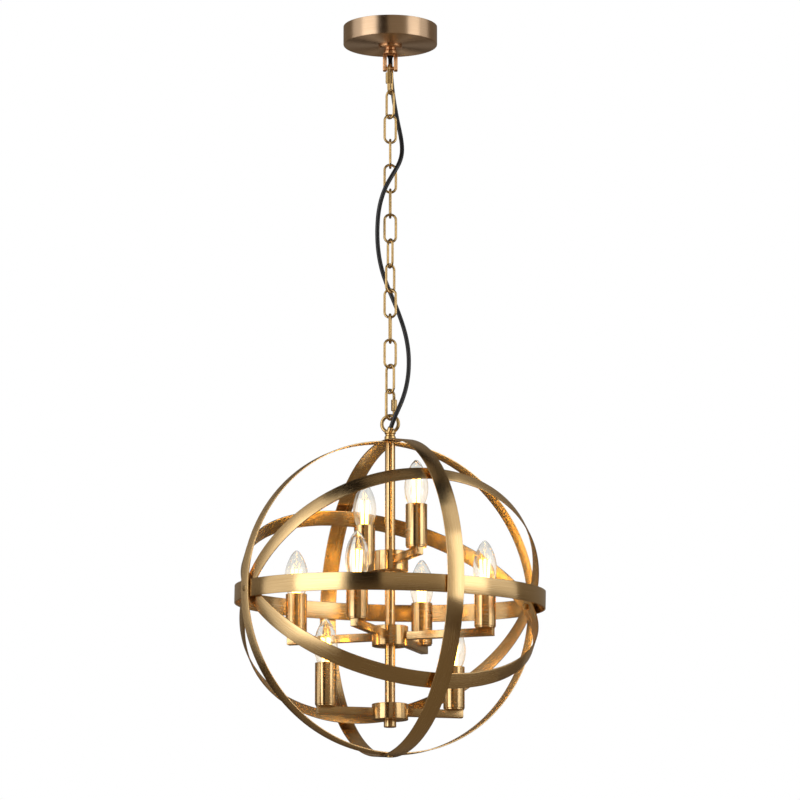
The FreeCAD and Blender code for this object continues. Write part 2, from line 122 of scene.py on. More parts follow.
def grainedMaterial(name, light, dark, grainMm, rough, metallic=0.0, bumpMm=0.02):
    # one recipe for the plain moulded, plated and extruded surfaces: two close tones in grains
    wander = 0.08                                    # how far the roughness strays
    material, tree = startMaterial(name)
    coords = addNode(tree, "ShaderNodeTexCoord")
    grain = addNode(tree, "ShaderNodeTexNoise", {"Scale": 1000 / grainMm, "Detail": 4.0},
                    {"Vector": coords.outputs["Object"]})
    colour = addNode(tree, "ShaderNodeValToRGB", None, {"Fac": grain.outputs["Fac"]})
    colour.color_ramp.elements[0].position = 0.3
    colour.color_ramp.elements[0].color = fromHex(dark)
    colour.color_ramp.elements[1].position = 0.7
    colour.color_ramp.elements[1].color = fromHex(light)
    roughness = addNode(tree, "ShaderNodeMapRange",
                        {"To Min": rough - wander, "To Max": rough + wander},
                        {"Value": grain.outputs["Fac"]})
    bump = addNode(tree, "ShaderNodeBump", {"Strength": 0.3, "Distance": bumpMm * mm},
                   {"Height": grain.outputs["Fac"]})
    shader = addNode(tree, "ShaderNodeBsdfPrincipled", {"Metallic": metallic},
                     {"Base Color": colour.outputs["Color"],
                      "Roughness": roughness.outputs["Result"], "Normal": bump.outputs[0]})
    finishMaterial(tree, shader)
    return material


def blownGlass():
    # clear soda-lime bulb glass, drawn and blown: sharp highlights, thin dark rims, slow waves,
    # and a warm painted glow beside the strips: the glass itself glows, though it is no lamp,
    # with a level that goes by the height in tenths of a metre
    sizes = {"waveMm": 50 / 3, "bumpMm": 0.2}
    # painted glow: how strongly the glass itself glows at each height
    paintedGlowLevels = ((0.02, 0.06), (0.22, 0.16), (0.38, 0.11), (0.52, 0.0))
    material, tree = startMaterial("blownSodaLimeGlass")
    coords = addNode(tree, "ShaderNodeTexCoord")
    waves = addNode(tree, "ShaderNodeTexNoise", {"Scale": 1000 / sizes["waveMm"], "Detail": 1.0},
                    {"Vector": coords.outputs["Object"]})
    bump = addNode(tree, "ShaderNodeBump", {"Strength": 0.04, "Distance": sizes["bumpMm"] * mm},
                   {"Height": waves.outputs["Fac"]})
    along = addNode(tree, "ShaderNodeSeparateXYZ", None, {0: coords.outputs["UV"]})
    height = addNode(tree, "ShaderNodeMath", {"operation": "MULTIPLY", 1: 10.0},
                     {0: along.outputs["Y"]})
    glow = addNode(tree, "ShaderNodeValToRGB", None, {"Fac": height.outputs[0]})
    for place, level in paintedGlowLevels:
        stop = glow.color_ramp.elements.new(place)
        stop.color = (level, level, level, 1)
    glow.color_ramp.elements.remove(glow.color_ramp.elements[0])
    glow.color_ramp.elements[-1].color = (0, 0, 0, 1)
    # the glass's emission is the painted glow, in a warm colour
    glass = addNode(tree, "ShaderNodeBsdfPrincipled",
                    {"Base Color": fromHex("EFEFEC"), "Transmission Weight": 1.0, "IOR": 1.5,
                     "Roughness": 0.01, "Emission Color": fromHex("FFD08A")},
                    {"Normal": bump.outputs[0], "Emission Strength": glow.outputs["Color"]})
    clear = addNode(tree, "ShaderNodeBsdfTransparent", {"Color": fromHex("F4F4F2")})
    rays = addNode(tree, "ShaderNodeLightPath")
    mixed = addNode(tree, "ShaderNodeMixShader", None,
                    {"Fac": rays.outputs["Is Shadow Ray"], 1: glass.outputs[0],
                     2: clear.outputs[0]})
    finishMaterial(tree, mixed)
    return material


def phosphorStrip():
    # a lit strip of diodes under yellow phosphor silicone: warm white with brighter dots
    sizes = {"diodePitchMm": 1.3, "strength": 18.0}
    material, tree = startMaterial("phosphorSilicone")
    coords = addNode(tree, "ShaderNodeTexCoord")
    dots = addNode(tree, "ShaderNodeTexWave",
                   {"bands_direction": "Z", "Scale": 1000 / sizes["diodePitchMm"] / 6.3},
                   {"Vector": coords.outputs["Object"]})
    colour = addNode(tree, "ShaderNodeValToRGB", None, {"Fac": dots.outputs["Fac"]})
    colour.color_ramp.elements[0].color = fromHex("FFB638")
    colour.color_ramp.elements[1].color = fromHex("FFCB66")
    glow = addNode(tree, "ShaderNodeEmission", {"Strength": sizes["strength"]},
                   {"Color": colour.outputs["Color"]})
    finishMaterial(tree, glow)
    return material


materials = {
    "brass": brushedBrass("brushedLacqueredBrass"),
    # the canopy gets its own copy of the brass: paler, a little pink and rougher
    "canopyBrass": brushedBrass("brushedPaleBrass", "D9BB9B", "C5A583", 0.33),
    # the hanger is cast and plated: redder than the rolled bands
    "castBrass": brushedBrass("castPlatedBrass", "E2B184", "CD9766", 0.30),
    # drawn and tumbled brass-plated wire: softer, a little paler and duller than the bands
    "plated": grainedMaterial("brassPlatedSteelWire", "D2B27C", "B3925C", 6.0, 0.30, 1.0, 0.0005),
    # electroplated zinc: dull grey with a fine crystal mottle
    "zinc": grainedMaterial("zincPlatedSteel", "B4B6B7", "9A9DA0", 1.6, 0.45, 1.0, 0.003),
    # extruded PVC jacket: near black, satin, very fine grain
    "jacket": grainedMaterial("extrudedPvcJacket", "17171A", "0C0C0E", 0.8, 0.42, 0.0, 0.03),
    "nylon": grainedMaterial("mouldedNylon", "E6E4DC", "D6D3C8", 1.0, 0.5),
    # phenolic lampholder: black, hard, slightly glossy
    "phenolic": grainedMaterial("mouldedPhenolic", "201D1B", "131110", 1.2, 0.38),
    "nickel": grainedMaterial("nickelPlatedBrass", "D2CFC7", "BEBAB0", 1.5, 0.22, 1.0, 0.002),
    "glass": blownGlass(),
    "phosphor": phosphorStrip(),
}
print("materials", len(materials))


# mesh helpers
def newPiece(name, vertices, faces, uvs=None):
    mesh = bpy.data.meshes.new(name)
    mesh.from_pydata([Vector(v) * mm for v in vertices], [], faces)
    if uvs:
        layer = mesh.uv_layers.new(name="surface")
        for loop in mesh.loops:
            layer.data[loop.index].uv = uvs[loop.index]
    mesh.validate()
    mesh.update()
    piece = bpy.data.objects.new(name, mesh)
    scene.collection.objects.link(piece)
    return piece


def rounded(profile, radius, steps=3):
    # rounds the inner corners of an open profile of (radius, height) points
    out = [profile[0]]
    for before, corner, after in zip(profile, profile[1:], profile[2:]):
        a, c, b = Vector(before), Vector(corner), Vector(after)
        reach = min(radius, (a - c).length * 0.45, (b - c).length * 0.45)
        start, end = c + (a - c).normalized() * reach, c + (b - c).normalized() * reach
        for i in range(steps + 1):
            t = i / steps
            out.append(tuple(start * (1 - t) ** 2 + c * 2 * t * (1 - t) + end * t ** 2))
    out.append(profile[-1])
    return out


def turned(name, profile, place=(0, 0, 0), steps=64, closed=False):
    # a turned piece about the vertical; UV runs round it in u and along the profile in v
    x, y, z = place
    rows, vertices, faces, uvs, travel = [], [], [], [], [0.0]
    points = list(profile) + ([profile[0]] if closed else [])
    for before, here in zip(points, points[1:]):
        travel.append(travel[-1] + math.dist(before, here))
    count = len(profile)
    for radius, height in profile:
        if radius < 1e-6:
            rows.append([len(vertices)] * steps)
            vertices.append((x, y, z + height))
            continue
        rows.append([len(vertices) + i for i in range(steps)])
        for i in range(steps):
            a = 2 * math.pi * i / steps
            vertices.append((x + radius * math.cos(a), y + radius * math.sin(a), z + height))
    widest = max(r for r, h in profile)
    for k in range(count if closed else count - 1):
        lower, upper = rows[k], rows[(k + 1) % count]
        for i in range(steps):
            j = (i + 1) % steps
            square = [(lower[i], i, k), (lower[j], i + 1, k), (upper[j], i + 1, k + 1),
                      (upper[i], i, k + 1)]
            corners = []                             # three where the row is a pole
            for corner in square:
                if corner[0] not in [c[0] for c in corners]:
                    corners.append(corner)
            if len(corners) < 3:
                continue
            faces.append([c[0] for c in corners])
            uvs += [(2 * math.pi * widest * c[1] / steps * mm, travel[c[2]] * mm) for c in corners]
    return newPiece(name, vertices, faces, uvs)


def joined(name, parts):
    # several meshes as one piece, keeping their UV maps
    for other in parts:
        other.data.transform(other.matrix_world)
        other.matrix_world = Matrix.Identity(4)
    with bpy.context.temp_override(active_object=parts[0], object=parts[0],
                                   selected_objects=parts, selected_editable_objects=parts):
        if len(parts) > 1:
            bpy.ops.object.join()
    parts[0].name = name
    return parts[0]


def baked(piece):
    # turns a piece with live modifiers into a plain mesh
    graph = bpy.context.evaluated_depsgraph_get()
    mesh = bpy.data.meshes.new_from_object(piece.evaluated_get(graph))
    piece.modifiers.clear()
    piece.data = mesh
    return piece


def dress(piece, material, body, nodes, smooth=35, outward=True):
    # faces outward, smooth shading, material, and what the piece rides on and stands for
    if outward:
        shape = bmesh.new()
        shape.from_mesh(piece.data)
        bmesh.ops.recalc_face_normals(shape, faces=shape.faces)
        shape.to_mesh(piece.data)
        shape.free()
    piece.data.shade_smooth()
    piece.data.set_sharp_from_angle(angle=math.radians(smooth))
    if material:
        piece.data.materials.clear()
        piece.data.materials.append(material)
    if body:
        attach(piece, body)
    if nodes:
        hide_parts(*nodes)
    return piece


def rotation(angle, axis):
    return Matrix.Rotation(math.radians(angle), 4, axis)


def turnTo(place=(0, 0, 0), turn=0.0):
    return Matrix.Translation(Vector(place) * mm) @ rotation(turn, "Z")


def aimed(piece, place, direction):
    # stands a turned piece at a place, with its axis along a direction
    piece.data.transform(Matrix.Translation(Vector(place) * mm)
                         @ direction.to_track_quat("Z", "Y").to_matrix().to_4x4())
    return piece


# geometry node trees
def socket(tree, name, kind, default=None, output=False):
    item = tree.interface.new_socket(name=name, in_out="OUTPUT" if output else "INPUT",
                                     socket_type=kind)
    if default is not None:
        item.default_value = default
    return item


def wireLoopTree():
    # an oval of round wire: a circle pulled apart along Z, then swept
    tree = bpy.data.node_groups.new("wireLoop", "GeometryNodeTree")
    socket(tree, "Geometry", "NodeSocketGeometry")
    for name, value in (("Bend Radius", 0.007), ("Straight Half", 0.012), ("Wire Radius", 0.0016)):
        socket(tree, name, "NodeSocketFloat", value)
    socket(tree, "Material", "NodeSocketMaterial")
    socket(tree, "Geometry", "NodeSocketGeometry", output=True)
    start = addNode(tree, "NodeGroupInput")
    circle = addNode(tree, "GeometryNodeCurvePrimitiveCircle", {"Resolution": 40},
                     {"Radius": start.outputs["Bend Radius"]})
    position = addNode(tree, "GeometryNodeInputPosition")
    parts = addNode(tree, "ShaderNodeSeparateXYZ", None, {0: position.outputs[0]})
    side = addNode(tree, "ShaderNodeMath", {"operation": "SIGN"}, {0: parts.outputs["Y"]})
    lift = addNode(tree, "ShaderNodeMath", {"operation": "MULTIPLY"},
                   {0: side.outputs[0], 1: start.outputs["Straight Half"]})
    rise = addNode(tree, "ShaderNodeMath", {"operation": "ADD"},
                   {0: parts.outputs["Y"], 1: lift.outputs[0]})
    upright = addNode(tree, "ShaderNodeCombineXYZ", None,
                      {"X": parts.outputs["X"], "Z": rise.outputs[0]})
    moved = addNode(tree, "GeometryNodeSetPosition", None,
                    {"Geometry": circle.outputs[0], "Position": upright.outputs[0]})
    section = addNode(tree, "GeometryNodeCurvePrimitiveCircle", {"Resolution": 14},
                      {"Radius": start.outputs["Wire Radius"]})
    swept = addNode(tree, "GeometryNodeCurveToMesh", None,
                    {"Curve": moved.outputs[0], "Profile Curve": section.outputs[0]})
    real = addNode(tree, "GeometryNodeRealizeInstances", None, {0: swept.outputs[0]})
    painted = addNode(tree, "GeometryNodeSetMaterial", None,
                      {"Geometry": real.outputs[0], "Material": start.outputs["Material"]})
    end = addNode(tree, "NodeGroupOutput")
    tree.links.new(painted.outputs[0], end.inputs[0])
    return tree


def spreadTree():
    # one source piece at every point, turned about the vertical by the point's own angle
    tree = bpy.data.node_groups.new("spreadOnPoints", "GeometryNodeTree")
    socket(tree, "Geometry", "NodeSocketGeometry")
    socket(tree, "Source", "NodeSocketObject")
    socket(tree, "Material", "NodeSocketMaterial")
    socket(tree, "Geometry", "NodeSocketGeometry", output=True)
    start = addNode(tree, "NodeGroupInput")
    source = addNode(tree, "GeometryNodeObjectInfo", None, {"Object": start.outputs["Source"]})
    turn = addNode(tree, "GeometryNodeInputNamedAttribute", {"data_type": "FLOAT", "Name": "turn"})
    axis = addNode(tree, "ShaderNodeCombineXYZ", None, {"Z": turn.outputs["Attribute"]})
    placed = addNode(tree, "GeometryNodeInstanceOnPoints", None,
                     {"Points": start.outputs["Geometry"], "Instance": source.outputs["Geometry"],
                      "Rotation": axis.outputs[0]})
    real = addNode(tree, "GeometryNodeRealizeInstances", None, {0: placed.outputs[0]})
    painted = addNode(tree, "GeometryNodeSetMaterial", None,
                      {"Geometry": real.outputs[0], "Material": start.outputs["Material"]})
    end = addNode(tree, "NodeGroupOutput")
    tree.links.new(painted.outputs[0], end.inputs[0])
    return tree


def runTree(name, tree, values, base=None):
    # runs a tree on a base object, or on an empty one, and keeps the plain mesh
    piece = base or newPiece(name, [(0, 0, 0)], [])
    modifier = piece.modifiers.new("build", "NODES")
    modifier.node_group = tree
    for item in tree.interface.items_tree:
        if item.in_out == "INPUT" and item.name in values:
            modifier[item.identifier] = values[item.name]
    piece.name = name
    return baked(piece)


wireLoop, spreadOnPoints = wireLoopTree(), spreadTree()


def wireOval(name, innerLength, innerWidth, wireRadius, material):
    bend = innerWidth / 2 + wireRadius
    values = {"Bend Radius": bend * mm, "Straight Half": (innerLength / 2 + wireRadius - bend) * mm,
              "Wire Radius": wireRadius * mm, "Material": material}
    return runTree(name, wireLoop, values)


def spread(name, source, points, turns, material):
    base = newPiece(name, points, [])
    layer = base.data.attributes.new("turn", "FLOAT", "POINT")
    layer.data.foreach_set("value", [math.radians(t) for t in turns])
    piece = runTree(name, spreadOnPoints, {"Source": source, "Material": material}, base)
    bpy.data.objects.remove(source)
    return piece


# camera and power cord
view = {"place": (0.0124, -6.117, -1.642), "pitch": 10.709, "lens": 222.67}
camera = bpy.data.objects.new("camera", bpy.data.cameras.new("camera"))
camera.data.lens = view["lens"]
camera.data.sensor_width = 36
camera.data.clip_end = 50
camera.location = view["place"]
camera.rotation_euler = (math.radians(90 + view["pitch"]), 0, 0)
scene.collection.objects.link(camera)
scene.camera = camera

cordSize = {"radius": 2.75, "sides": 20}
cordRoute = (
    (0.0, 4.0, -41.0), (0.3, 13.8, -51.6), (1.5, 18.3, -67.0), (4.0, 18.5, -90.0),
    (9.0, 15.5, -120.0), (14.0, 11.0, -144.0), (15.5, 2.0, -164.0), (12.0, -9.0, -181.0),
    (3.0, -16.0, -198.0), (-7.0, -17.0, -216.0), (-14.0, -12.0, -238.0),
    (-16.5, -4.0, -262.0), (-16.0, 4.0, -287.0), (-12.0, 12.0, -311.0),
    (-5.0, 16.5, -332.0), (4.0, 18.0, -353.0), (12.5, 16.0, -375.0),
    (19.5, 12.0, -398.0), (23.5, 7.0, -423.0), (23.5, 2.0, -448.0),
    (20.5, -3.0, -469.0), (15.3, -8.0, -487.0), (9.0, -11.5, -502.0),
    (3.9, -10.0, -513.3), (1.2, -7.0, -521.2),
)
# the height at which each stretch ends, and the two bodies that it runs between
cordStretches = (
    (-75.0, "ceiling_mount", "upper_quick_link"), (-112.0, "upper_quick_link", "chain"),
    (-446.0, "chain", None), (-484.0, "chain", "lower_quick_link"),
    (-522.0, "lower_quick_link", "orb_frame"),
)


def cordLine():
    curve = bpy.data.curves.new("cordLine", "CURVE")
    curve.dimensions = "3D"
    curve.resolution_u = 12
    spline = curve.splines.new("NURBS")
    spline.points.add(len(cordRoute) - 1)
    for point, place in zip(spline.points, cordRoute):
        point.co = (*(Vector(place) * mm), 1)
    spline.order_u = 3
    spline.use_endpoint_u = True
    line = bpy.data.objects.new("cordLine", curve)
    scene.collection.objects.link(line)
    mesh = bpy.data.meshes.new_from_object(line)
    points = [v.co.copy() for v in mesh.vertices]
    bpy.data.objects.remove(line)
    return points


def tubeAlong(name, points, radius, sides):
    # a round tube whose UV runs along it in u and round it in v
    vertices, faces, uvs, travel = [], [], [], 0.0
    side = (points[1] - points[0]).orthogonal().normalized()
    for i, point in enumerate(points):
        ahead = (points[min(i + 1, len(points) - 1)] - points[max(i - 1, 0)]).normalized()
        side = (side - ahead * side.dot(ahead)).normalized()
        up = ahead.cross(side)
        for j in range(sides):
            a = 2 * math.pi * j / sides
            vertices.append((point + (side * math.cos(a) + up * math.sin(a)) * radius * mm) / mm)
    for i in range(len(points) - 1):
        step = (points[i + 1] - points[i]).length
        for j in range(sides):
            k = (j + 1) % sides
            faces.append([i * sides + j, i * sides + k, (i + 1) * sides + k, (i + 1) * sides + j])
            ring = 2 * math.pi * radius * mm / sides
            uvs += [(travel, j * ring), (travel, (j + 1) * ring),
                    (travel + step, (j + 1) * ring), (travel + step, j * ring)]
        travel += step
    for start in (0, (len(points) - 1) * sides):
        faces.append([start + j for j in range(sides)])
        uvs += [(0, 0)] * sides
    return newPiece(name, vertices, faces, uvs)


cordPoints = cordLine()
cordTotal = sum((b - a).length for a, b in zip(cordPoints, cordPoints[1:]))
first = 0
for index, (lowest, upper, lower) in enumerate(cordStretches):
    last = first + 1
    while last < len(cordPoints) - 1 and cordPoints[last].z > lowest * mm:
        last += 1
    points = cordPoints[first:last + 1]
    stretch = tubeAlong("powerCord%d" % (index + 1), points, cordSize["radius"], cordSize["sides"])
    dress(stretch, materials["jacket"], None if lower else upper, ["power_cord"])
    if lower:
        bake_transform(stretch)
    length = sum((b - a).length for a, b in zip(points, points[1:]))
    first = last
print("cord", round(cordTotal, 3), "m")


# canopy and hanger
canopy = {"radius": 59.8, "bore": 5.1, "top": -0.4, "bottom": -25.0, "wall": 1.2, "edge": 1.5}
outer, inner = canopy["radius"], canopy["radius"] - canopy["wall"]
low, top = canopy["bottom"], canopy["top"]
outline = rounded([(canopy["bore"], low), (outer, low), (outer, top), (inner, top),
                   (inner, low + canopy["wall"]), (canopy["bore"], low + canopy["wall"])],
                  canopy["edge"], 5)
shell = turned("canopyShell", outline, steps=160, closed=True)
dress(shell, materials["canopyBrass"], "ceiling_mount", ["canopy"])

hanger = {"flange": 14.9, "flangeEdge": 13.4, "flangeLow": -27.8, "waist": 7.2, "waistTop": -29.0,
          "waistLow": -31.5, "neck": 8.5, "neckTop": -33.0, "neckLow": -36.4, "leg": 5.1,
          "legBelowBar": 3.7, "legEdge": 1.3, "width": 18.9, "depth": 7.9, "crown": 2.6,
          "crownDrop": 0.9, "crownEdge": 0.8, "bar": 2.45, "barHalf": 7.5, "barZ": -55.3}
collar = turned("hangerCollar", rounded(
    [(0, low), (hanger["flange"], low), (hanger["flange"], hanger["flangeLow"]),
     (hanger["flangeEdge"], hanger["waistTop"]), (hanger["waist"], hanger["waistTop"]),
     (hanger["waist"], hanger["waistLow"]), (hanger["neck"], hanger["neckTop"]),
     (hanger["neck"], hanger["neckLow"]), (0, hanger["neckLow"])], 0.5), steps=72)


def barMesh(name, size, place, bevel, segments=3):
    # a bar with eased edges; UV u runs along its longest side, as the belt that brushed it did
    shape = bmesh.new()
    bmesh.ops.create_cube(shape, size=1.0)
    bmesh.ops.scale(shape, vec=Vector(size), verts=shape.verts)
    bmesh.ops.bevel(shape, geom=shape.edges[:], offset=bevel, segments=segments, affect="EDGES",
                    profile=0.5)
    bmesh.ops.translate(shape, vec=Vector(place), verts=shape.verts)
    mesh = bpy.data.meshes.new(name)
    layer = shape.loops.layers.uv.new("surface")
    order = sorted(range(3), key=lambda i: -size[i])
    for face in shape.faces:
        away = max(order[1:], key=lambda i: -abs(face.normal[i]))
        for loop in face.loops:
            loop[layer].uv = (loop.vert.co[order[0]] * mm, loop.vert.co[away] * mm)
    bmesh.ops.scale(shape, vec=(mm, mm, mm), verts=shape.verts)
    shape.to_mesh(mesh)
    shape.free()
    piece = bpy.data.objects.new(name, mesh)
    scene.collection.objects.link(piece)
    return piece


legTop, legLow = hanger["neckLow"], hanger["barZ"] - hanger["legBelowBar"]
legs = []
for side in (-1, 1):
    x = side * (hanger["width"] - hanger["leg"]) / 2
    legs.append(barMesh("leg", (hanger["leg"], hanger["depth"], legTop - legLow),
                        (x, 0, (legTop + legLow) / 2), hanger["legEdge"]))
crown = barMesh("crown", (hanger["width"] - 1, hanger["depth"] - 0.2, hanger["crown"]),
                (0, 0, legTop - hanger["crownDrop"]), hanger["crownEdge"])
bar = turned("bar", rounded([(0, -hanger["barHalf"]), (hanger["bar"], -hanger["barHalf"]),
             (hanger["bar"], hanger["barHalf"]), (0, hanger["barHalf"])], 0.2), steps=24)
bar.data.transform(turnTo((0, 0, hanger["barZ"])) @ rotation(90, "Y"))
stirrup = joined("hangerStirrup", [collar] + legs + [crown, bar])
dress(stirrup, materials["castBrass"], "ceiling_mount", ["hanger_stirrup"], 50)

bushSize = {"mouth": 2.9, "radius": 3.7, "flare": 1.6, "length": 4.0}
inward = (Vector(cordRoute[0]) - Vector(cordRoute[1])).normalized()
bush = turned("cableBush", rounded(
    [(0, 0), (bushSize["mouth"], 0), (bushSize["radius"], bushSize["flare"]),
     (bushSize["radius"], bushSize["length"]), (0, bushSize["length"])], 0.5), steps=32)
aimed(bush, cordRoute[0], inward)
dress(bush, materials["jacket"], "ceiling_mount", ["cable_bush"], 50)
print("canopy and hanger")


# chain and quick links
chain = {"innerLength": 32.75, "innerWidth": 11.2, "wireRadius": 1.6, "top": -102.38,
         "pitch": 32.35, "turns": (-50, 10, 90, 5, 92, 0, -66, 45, -10, 85, 12, -49)}
quick = {"innerLength": 34.0, "innerWidth": 10.2, "wireRadius": 1.8, "nutAcross": 6.8,
         "nutLength": 14.0, "nutBore": 2.0, "threadPitch": 0.8, "crests": 5, "crest": 1.93,
         "root": 1.7,
         "places": (("upper_quick_link", -69.4, 252), ("lower_quick_link", -491.2, 45))}

link = wireOval("link", chain["innerLength"], chain["innerWidth"], chain["wireRadius"],
                materials["plated"])
weld = turned("weld", rounded([(0.9, -1.5), (1.5, -1.1), (1.62, 0), (1.5, 1.1), (0.9, 1.5)], 0.3),
              (chain["innerWidth"] / 2 + chain["wireRadius"], 0, 0), 16)
link = joined("link", [link, weld])
heights = [(0, 0, chain["top"] - i * chain["pitch"]) for i in range(12)]
links = spread("chainLinks", link, heights, chain["turns"], materials["plated"])
dress(links, materials["plated"], "chain", ["chain_link_%02d" % (i + 1) for i in range(12)],
      60)


def hexNut(across, length, bore):
    # a hexagonal sleeve with its corners turned off at both ends
    reach = across / 2 / math.cos(math.pi / 6)
    shape = turned("nut", [(bore, -length / 2), (reach * 0.9, -length / 2),
                           (reach, -length / 2 + 0.7), (reach, length / 2 - 0.7),
                           (reach * 0.9, length / 2), (bore, length / 2)], steps=72, closed=True)
    for vertex in shape.data.vertices:
        x, y = vertex.co.x / mm, vertex.co.y / mm
        radius, angle = math.hypot(x, y), math.atan2(y, x)
        facet = (angle % (math.pi / 3)) - math.pi / 6
        allowed = across / 2 / math.cos(facet)
        if radius > bore + 0.1 and radius > allowed:
            vertex.co.x *= allowed / radius
            vertex.co.y *= allowed / radius
    return shape


for body, height, turn in quick["places"]:
    side = quick["innerWidth"] / 2 + quick["wireRadius"]
    wire = wireOval("wire", quick["innerLength"], quick["innerWidth"], quick["wireRadius"],
                    materials["plated"])
    nut = hexNut(quick["nutAcross"], quick["nutLength"], quick["nutBore"])
    nut.data.transform(Matrix.Translation((side * mm, 0, 0)))
    crests = []
    for i in range(quick["crests"]):                 # thread crests left bare above the nut
        z = quick["nutLength"] / 2 + 0.5 + i * quick["threadPitch"]
        crest = [(quick["root"], z - 0.35), (quick["crest"], z), (quick["root"], z + 0.35)]
        crests.append(turned("crest", crest, (side, 0, 0), 20))
    piece = joined(body.title().replace("_", ""), [wire, nut] + crests)
    piece.data.transform(turnTo((0, 0, height), turn))
    dress(piece, materials["plated"], body, [body, body + "_nut"], 30)
print("chain")


# eye, stem, hubs and finial
eye = {"inner": 8.35, "wire": 2.25, "turn": -12, "z": -515.95, "collarTop": -524.3,
       "collarLow": -537.3, "collar": 7.1, "waist": 6.0, "shoulder": 6.1}
ring = wireOval("ring", 2 * eye["inner"], 2 * eye["inner"], eye["wire"], materials["plated"])
ring.data.transform(turnTo((0, 0, eye["z"]), eye["turn"]))
top, foot = eye["collarTop"], eye["collarLow"]
collar = turned("collar", rounded([(0, foot), (eye["collar"], foot), (eye["collar"], top - 8),
                (eye["waist"], top - 7), (eye["waist"], top - 5), (eye["collar"], top - 4),
                (eye["collar"], top - 0.8), (eye["shoulder"], top), (0, top)], 0.35), steps=48)
inward = (Vector(cordRoute[-1]) - Vector(cordRoute[-2])).normalized()
boss = turned("boss", rounded([(0, 0), (3.0, 0), (3.8, 0.8), (3.8, 7.0), (0, 7.0)], 0.3), steps=32)
aimed(boss, cordRoute[-1], inward)
hangingEye = joined("hangingEye", [collar, ring, boss])
dress(hangingEye, materials["plated"], "orb_frame", ["hanging_eye"], 40)

stem = {"radius": 6.45, "bore": 5.2, "top": -541.4, "hub": 22.7, "hubBore": 5.1, "hubEdge": 0.8,
        "finial": 7.8, "finialLength": 9.0}
hubs = {"top": (45.2, 25.0), "middle": (-49.0, 25.0), "bottom": (-143.8, 20.0)}
spans = {n: (orbZ + z - tall / 2, orbZ + z + tall / 2) for n, (z, tall) in hubs.items()}
tubes = []
for low, high in ((spans["top"][1], stem["top"]), (spans["middle"][1], spans["top"][0]),
                  (spans["bottom"][1], spans["middle"][0])):
    tubes.append(turned("tube", [(stem["bore"], low), (stem["radius"], low), (stem["radius"], high),
                                 (stem["bore"], high)], steps=48, closed=True))
dress(joined("stemTubes", tubes), materials["brass"], "orb_frame",
      ["stem_tube_upper", "stem_tube_middle", "stem_tube_lower"])
for name, (low, high) in spans.items():
    profile = rounded([(stem["hubBore"], low), (stem["hub"], low), (stem["hub"], high),
                       (stem["hubBore"], high)], stem["hubEdge"])
    hub = turned(name + "Hub", profile, steps=96, closed=True)
    dress(hub, materials["brass"], "orb_frame", [name + "_hub"])
high = spans["bottom"][0]
low = high - stem["finialLength"]
finial = turned("bottomFinial", rounded([(0, low), (stem["finial"], low), (stem["finial"], high),
                (stem["hubBore"], high)], 0.9), steps=48)
dress(finial, materials["brass"], "orb_frame", ["bottom_finial"])
print("stem")


# arms and lamps; a tier is its arms' height, their reach and the directions they point in
tiers = {"top": (45.2, 89.0, (21.5, 201.5)),
         "middle": (-49.0, 124.5, (-18.8, 71.2, 161.2, 251.2)),
         "bottom": (-143.8, 82.0, (-76.6, 103.4))}
arm = {"size": 10.0, "root": 12.0, "overhang": 11.0, "edge": 0.7}
lamp = {"cup": 12.5, "cupThick": 2.0, "sleeve": 13.4, "sleeveWall": 1.0, "sleeveLength": 52.0,
        "holder": 10.4, "holderLength": 38.0, "socketPlay": 0.3, "socketDepth": 19.0,
        "cap": 6.1, "capLength": 20.0, "sink": 10.0, "glassWall": 0.7}
strip = {"count": 4, "radius": 1.6, "length": 30.0, "ease": 1.0, "out": 3.0, "rise": 12.0,
         "lean": 3.0, "turn": 20.0}
glass = [(6.0, 0.2), (7.6, 2.6), (9.4, 8.0), (11.7, 13.4), (13.5, 19.5), (14.5, 25.0),
         (14.85, 31.0), (14.5, 37.0), (13.45, 43.0), (11.8, 49.0), (9.6, 54.0), (7.3, 58.6),
         (4.9, 62.3), (2.6, 64.9), (1.1, 65.6), (0, 65.8)]


def threadedCap(low, high):
    # the rolled screw shell under a bulb
    points, z, turnPitch = [(0, low), (3.0, low + 0.2)], low + 2.0, 2.4
    while z < high - 4:
        points += [(5.5, z), (lamp["cap"], z + turnPitch / 2)]
        z += turnPitch
    return points + [(5.8, high - 2), (5.9, high), (0, high)]


def strips():
    # four upright diode strips round a glass stem, thicker than real so that they read as lit
    parts = []
    for i in range(strip["count"]):
        piece = turned("strip", rounded([(0, 0), (strip["radius"], 0),
                       (strip["radius"], strip["length"]), (0, strip["length"])], strip["ease"]),
                       steps=12)
        piece.data.transform(rotation(360 / strip["count"] * i + strip["turn"], "Z")
                             @ rotation(strip["lean"], "Y")
                             @ turnTo((strip["out"], 0, strip["rise"])))
        parts.append(piece)
    return joined("strips", parts)


def innerStem():
    # the pressed glass stem
    return turned("core", rounded([(0, 1), (4.6, 1), (2.4, 9), (1.0, 22), (0.8, 43), (0, 44)],
                                  1.0), steps=16)


